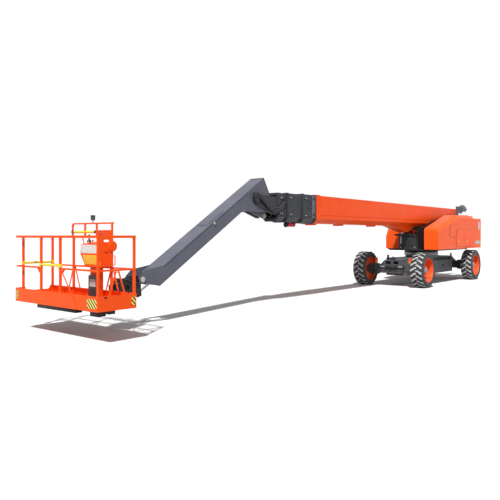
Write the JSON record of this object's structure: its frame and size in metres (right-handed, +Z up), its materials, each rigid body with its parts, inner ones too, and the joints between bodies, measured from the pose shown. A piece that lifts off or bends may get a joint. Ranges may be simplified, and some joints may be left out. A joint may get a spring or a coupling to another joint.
{
  "type": "telescopic boom lift",
  "caption": "Telescopic boom lift: four-wheel chassis, slewing turntable, four-part sliding boom with a jib and a levelled work platform for reaching high places.",
  "frame": {"origin": "middle of the length and width, on the ground under the tyres", "axes": "+X from the counterweight to the work platform, +Y to the machine's left, +Z up"},
  "size_m": [18.698, 2.49, 3.0698],
  "materials": {
    "orange_paint": "gloss",
    "slate_paint": "satin",
    "bare_steel": "satin",
    "grey_paint": "satin",
    "cast_engine": "matte",
    "yellow_paint": "satin",
    "black_paint": "satin",
    "black_plastic": "matte",
    "chromed_rod": "polished",
    "tyre_rubber": "matte"
  },
  "bodies": {
    "chassis": {"chassis_frame": "grey_paint", "front_axle": "grey_paint", "rear_axle": "grey_paint", "slew_ring": "bare_steel"},
    "turntable": {"turntable_frame": "black_paint", "turntable_pins": "bare_steel", "counterweight": "orange_paint", "engine": "cast_engine", "hydraulic_tank": "black_paint", "left_hood": "orange_paint", "right_hood": "orange_paint", "ground_control_box": "black_plastic"},
    "ground_control_lid": {"ground_control_lid": "orange_paint"},
    "left_front_door": {"left_front_door": "orange_paint"},
    "left_rear_door": {"left_rear_door": "orange_paint"},
    "right_front_door": {"right_front_door": "orange_paint"},
    "right_rear_door": {"right_rear_door": "orange_paint"},
    "boom": {"boom_base": "orange_paint", "boom_tail_bracket": "slate_paint"},
    "boom_two": {"boom_section_two": "slate_paint"},
    "boom_three": {"boom_section_three": "slate_paint"},
    "boom_end": {"boom_head": "slate_paint", "boom_pins": "bare_steel"},
    "lift_barrel": {"lift_barrel": "orange_paint"},
    "lift_rod": {"lift_rod": "chromed_rod"},
    "jib": {"jib_arm": "slate_paint"},
    "jib_barrel": {"jib_barrel": "black_paint"},
    "jib_rod": {"jib_rod": "chromed_rod"},
    "level_bracket": {"level_bracket": "black_paint"},
    "level_barrel": {"level_barrel": "black_paint"},
    "level_rod": {"level_rod": "chromed_rod"},
    "platform": {"platform_mount": "black_paint", "platform_floor": "orange_paint", "platform_rails": "orange_paint", "console_stand": "orange_paint", "control_console": "orange_paint", "work_lamp": "black_plastic"},
    "front_entry_bar": {"front_entry_bar": "yellow_paint"},
    "side_entry_bar": {"side_entry_bar": "yellow_paint"},
    "knuckle_front_left": {"knuckle_front_left": "grey_paint"},
    "wheel_front_left": {"rim_front_left": "orange_paint", "tyre_front_left": "tyre_rubber"},
    "knuckle_front_right": {"knuckle_front_right": "grey_paint"},
    "wheel_front_right": {"rim_front_right": "orange_paint", "tyre_front_right": "tyre_rubber"},
    "front_tie_rod": {"front_tie_rod": "black_paint"},
    "knuckle_rear_left": {"knuckle_rear_left": "grey_paint"},
    "wheel_rear_left": {"rim_rear_left": "orange_paint", "tyre_rear_left": "tyre_rubber"},
    "knuckle_rear_right": {"knuckle_rear_right": "grey_paint"},
    "wheel_rear_right": {"rim_rear_right": "orange_paint", "tyre_rear_right": "tyre_rubber"},
    "rear_tie_rod": {"rear_tie_rod": "black_paint"}
  },
  "joints": [
    {"name": "steer_front_left", "type": "hinge", "parent": "chassis", "child": "knuckle_front_left", "pos_m": [-3.54898, 0.7405, 0.575], "axis": [0, 0, 1], "range_deg": [-28, 28]},
    {"name": "roll_front_left", "type": "hinge", "parent": "knuckle_front_left", "child": "wheel_front_left", "pos_m": [-3.54898, 1.0225, 0.575], "axis": [0, 1, 0], "continuous": true},
    {"name": "steer_front_right", "type": "hinge", "parent": "chassis", "child": "knuckle_front_right", "pos_m": [-3.54898, -0.7405, 0.575], "axis": [0, 0, 1], "range_deg": [-28, 28]},
    {"name": "roll_front_right", "type": "hinge", "parent": "knuckle_front_right", "child": "wheel_front_right", "pos_m": [-3.54898, -1.0225, 0.575], "axis": [0, 1, 0], "continuous": true},
    {"name": "track_rod_front", "type": "hinge", "parent": "knuckle_front_left", "child": "front_tie_rod", "pos_m": [-3.31898, 0.7405, 0.475], "axis": [0, 0, 1], "range_deg": [-28, 28]},
    {"name": "steer_rear_left", "type": "hinge", "parent": "chassis", "child": "knuckle_rear_left", "pos_m": [-8.24898, 0.7405, 0.575], "axis": [0, 0, 1], "range_deg": [-28, 28]},
    {"name": "roll_rear_left", "type": "hinge", "parent": "knuckle_rear_left", "child": "wheel_rear_left", "pos_m": [-8.24898, 1.0225, 0.575], "axis": [0, 1, 0], "continuous": true},
    {"name": "steer_rear_right", "type": "hinge", "parent": "chassis", "child": "knuckle_rear_right", "pos_m": [-8.24898, -0.7405, 0.575], "axis": [0, 0, 1], "range_deg": [-28, 28]},
    {"name": "roll_rear_right", "type": "hinge", "parent": "knuckle_rear_right", "child": "wheel_rear_right", "pos_m": [-8.24898, -1.0225, 0.575], "axis": [0, 1, 0], "continuous": true},
    {"name": "track_rod_rear", "type": "hinge", "parent": "knuckle_rear_left", "child": "rear_tie_rod", "pos_m": [-8.47898, 0.7405, 0.475], "axis": [0, 0, 1], "range_deg": [-28, 28]},
    {"name": "slew", "type": "hinge", "parent": "chassis", "child": "turntable", "pos_m": [-5.89898, 0, 1.09], "axis": [0, 0, 1], "continuous": true},
    {"name": "left_front_door_hinge", "type": "hinge", "parent": "turntable", "child": "left_front_door", "pos_m": [-6.15898, 1.2123, 1.615], "axis": [0, 0, -1], "range_deg": [0, 100]},
    {"name": "left_rear_door_hinge", "type": "hinge", "parent": "turntable", "child": "left_rear_door", "pos_m": [-8.07898, 1.2123, 1.615], "axis": [0, 0, 1], "range_deg": [0, 100]},
    {"name": "right_front_door_hinge", "type": "hinge", "parent": "turntable", "child": "right_front_door", "pos_m": [-6.15898, -1.2123, 1.615], "axis": [0, 0, 1], "range_deg": [0, 100]},
    {"name": "right_rear_door_hinge", "type": "hinge", "parent": "turntable", "child": "right_rear_door", "pos_m": [-8.07898, -1.2123, 1.615], "axis": [0, 0, -1], "range_deg": [0, 100]},
    {"name": "ground_control_lid_hinge", "type": "hinge", "parent": "turntable", "child": "ground_control_lid", "pos_m": [-5.77398, 1.2123, 2.082], "axis": [1, 0, 0], "range_deg": [0, 100]},
    {"name": "boom_lift", "type": "hinge", "parent": "turntable", "child": "boom", "pos_m": [-8.51898, 0, 2.42], "axis": [0, -1, 0], "range_deg": [0, 75]},
    {"name": "boom_extend", "type": "slide", "parent": "boom", "child": "boom_two", "axis": [1, 0, 0], "range_m": [0, 8.3]},
    {"name": "boom_extend_three", "type": "slide", "parent": "boom_two", "child": "boom_three", "axis": [1, 0, 0], "range_m": [0, 8.3]},
    {"name": "boom_extend_end", "type": "slide", "parent": "boom_three", "child": "boom_end", "axis": [1, 0, 0], "range_m": [0, 8.3]},
    {"name": "lift_swing", "type": "hinge", "parent": "turntable", "child": "lift_barrel", "pos_m": [-7.79898, 0, 1.4], "axis": [0, -1, 0], "range_deg": [-0.2, 73.27]},
    {"name": "lift_stroke", "type": "slide", "parent": "lift_barrel", "child": "lift_rod", "axis": [0.9879, 0, 0.1552], "range_m": [-0.003, 1.5327]},
    {"name": "jib_lift", "type": "hinge", "parent": "boom_end", "child": "jib", "pos_m": [4.21102, 0, 2.56], "axis": [0, -1, 0], "range_deg": [-28.6, 81.4]},
    {"name": "jib_swing", "type": "hinge", "parent": "boom_end", "child": "jib_barrel", "pos_m": [2.11102, 0, 2.33], "axis": [0, -1, 0], "range_deg": [-1.47, 0.65]},
    {"name": "jib_stroke", "type": "slide", "parent": "jib_barrel", "child": "jib_rod", "axis": [0.9959, 0, -0.0905], "range_m": [-0.2778, 0.7853]},
    {"name": "platform_level", "type": "hinge", "parent": "jib", "child": "level_bracket", "pos_m": [7.60898, 0, 0.88889], "axis": [0, 1, 0], "range_deg": [-28.6, 81.4]},
    {"name": "level_swing", "type": "hinge", "parent": "jib", "child": "level_barrel", "pos_m": [6.42665, 0, 1.29544], "axis": [0, -1, 0], "range_deg": [-2.33, 6.25]},
    {"name": "level_stroke", "type": "slide", "parent": "level_barrel", "child": "level_rod", "axis": [0.8524, 0, -0.5229], "range_m": [-0.3859, 0.1375]},
    {"name": "platform_rotate", "type": "hinge", "parent": "level_bracket", "child": "platform", "pos_m": [8.07898, 0, 0.58889], "axis": [0, 0, 1], "range_deg": [-90, 90]},
    {"name": "front_bar_lift", "type": "slide", "parent": "platform", "child": "front_entry_bar", "axis": [0, 0, 1], "range_m": [0, 0.4]},
    {"name": "side_bar_lift", "type": "slide", "parent": "platform", "child": "side_entry_bar", "axis": [0, 0, 1], "range_m": [0, 0.4]}
  ],
  "couplings": [
    {"joint": "steer_front_right", "follows": "steer_front_left", "ratio": 1},
    {"joint": "track_rod_front", "follows": "steer_front_left", "ratio": -1},
    {"joint": "steer_rear_right", "follows": "steer_rear_left", "ratio": 1},
    {"joint": "track_rod_rear", "follows": "steer_rear_left", "ratio": -1},
    {"joint": "boom_extend_three", "follows": "boom_extend", "ratio": 1},
    {"joint": "boom_extend_end", "follows": "boom_extend", "ratio": 1},
    {"joint": "lift_swing", "follows": "boom_lift", "ratio": 0.95519},
    {"joint": "lift_stroke", "follows": "boom_lift", "m_per_rad": 1.1457},
    {"joint": "jib_swing", "follows": "jib_lift", "ratio": -0.01528},
    {"joint": "jib_stroke", "follows": "jib_lift", "m_per_rad": 0.53982},
    {"joint": "platform_level", "follows": "jib_lift", "ratio": 1},
    {"joint": "level_swing", "follows": "jib_lift", "ratio": 0.07289},
    {"joint": "level_stroke", "follows": "jib_lift", "m_per_rad": -0.2642}
  ]
}
